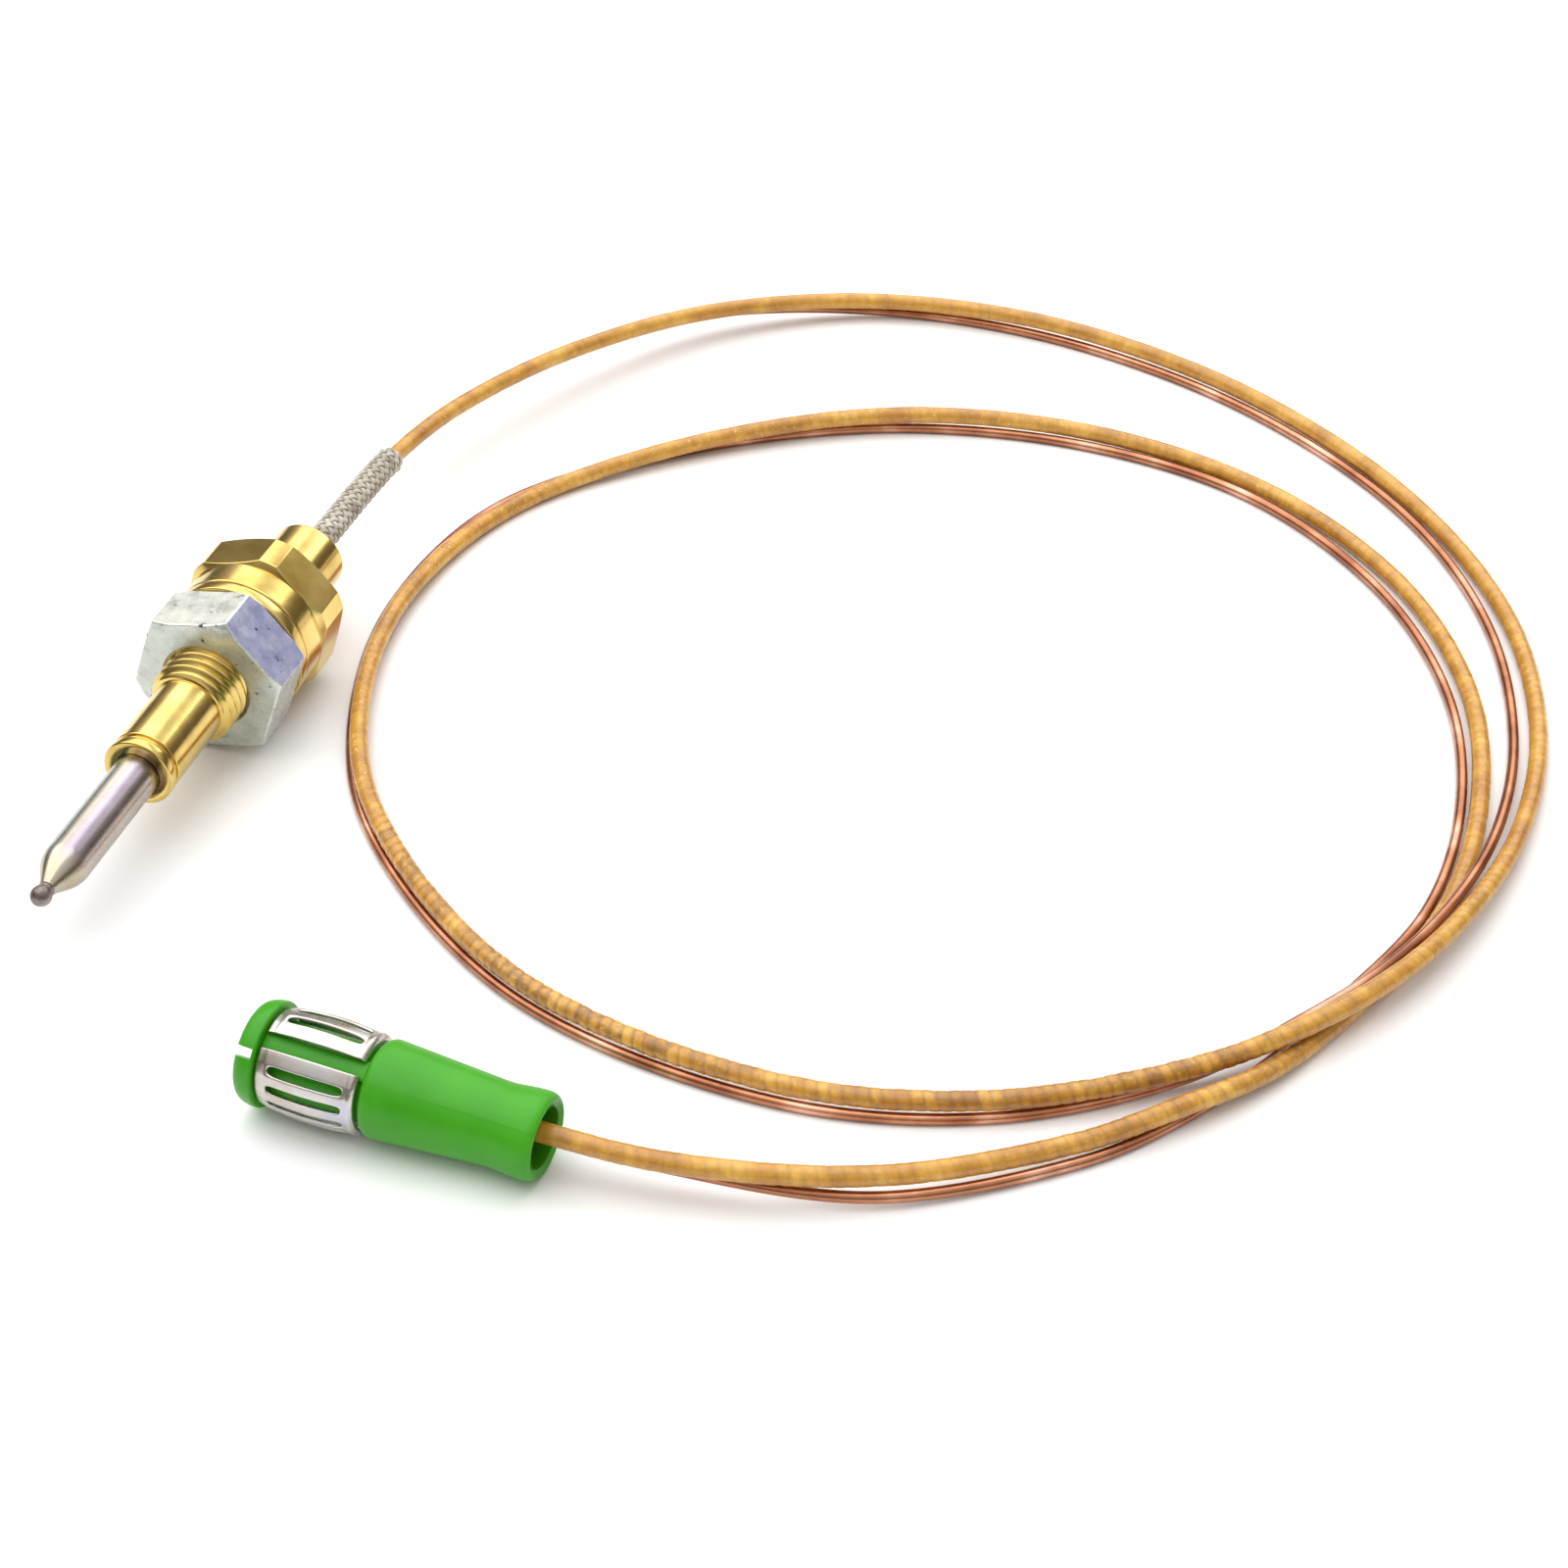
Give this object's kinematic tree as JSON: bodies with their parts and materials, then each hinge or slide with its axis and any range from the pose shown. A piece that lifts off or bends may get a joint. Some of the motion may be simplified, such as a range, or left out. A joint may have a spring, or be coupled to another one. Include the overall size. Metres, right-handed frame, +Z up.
{
  "type": "thermocouple",
  "caption": "Sheathed thermocouple in a threaded brass body with a lock nut, on a long insulated lead with a bare copper return wire, ending in a round green plug with sprung contacts.",
  "frame": {"origin": "centre of the bottom of the sensor head's box (bead to collar), on the surface it lies on", "axes": "-Y towards the sensor's tip, +Z up, the lead loops towards +X and +Y"},
  "size_m": [0.1226, 0.1402, 0.0144],
  "materials": {
    "welded_alloy": "dark weld-tinted bead",
    "nickel_tube": "satin nickel alloy tube",
    "constantan": "drawn wire",
    "glass_fibre": "woven glass fibre",
    "brass": "turned brass with fine tool marks",
    "zinc_steel": "zinc-plated steel with small pits",
    "tinned_metal": "tinned",
    "copper": "bare drawn copper wire, metallic",
    "braid": "braided fibre sleeve",
    "amber_varnish": "varnished wound insulation, fine ridges",
    "green_plastic": "moulded, satin gloss",
    "contact_metal": "plated spring metal",
    "white_plastic": "moulded insulator"
  },
  "bodies": {
    "sensor_and_lead": {"hot_junction_bead": "welded_alloy", "sheath_tube": "nickel_tube", "thermo_core": "constantan", "core_sleeving": "glass_fibre", "brass_body": "brass", "splice_ferrule": "tinned_metal", "lead_core_head": "copper", "collar_bush": "glass_fibre", "braid_sleeve": "braid", "amber_lead": "amber_varnish", "copper_wire": "copper", "plug_body": "green_plastic", "shell_contact_tube": "tinned_metal", "pin_insulator": "white_plastic", "centre_pin": "brass", "lead_core_plug": "copper", "core_ferrule": "tinned_metal", "wire_crimp": "tinned_metal"},
    "washer": {"seat_washer": "brass"},
    "nut": {"lock_nut": "zinc_steel"},
    "upper_contact": {"contact_panel_upper": "contact_metal"},
    "lower_contact": {"contact_panel_lower": "contact_metal"}
  },
  "joints": [
    {"name": "nut_travel", "type": "slide", "parent": "sensor_and_lead", "child": "washer", "axis": [0, -1, 0], "range_m": [0, 0.00905]},
    {"name": "nut_spin", "type": "hinge", "parent": "washer", "child": "nut", "pos_m": [0, 0.00755, 0.0072], "axis": [0, -1, 0], "range_deg": [0, 3240]},
    {"name": "upper_contact_press", "type": "slide", "parent": "sensor_and_lead", "child": "upper_contact", "axis": [-0.07, -0.8804, -0.4691], "range_m": [0, 0.00025], "stiffness_N_per_m": 800},
    {"name": "lower_contact_press", "type": "slide", "parent": "sensor_and_lead", "child": "lower_contact", "axis": [0.07, 0.8804, 0.4691], "range_m": [0, 0.00025], "stiffness_N_per_m": 800}
  ],
  "couplings": [
    {"joint": "nut_travel", "follows": "nut_spin", "m_per_rad": 0.00015915}
  ]
}
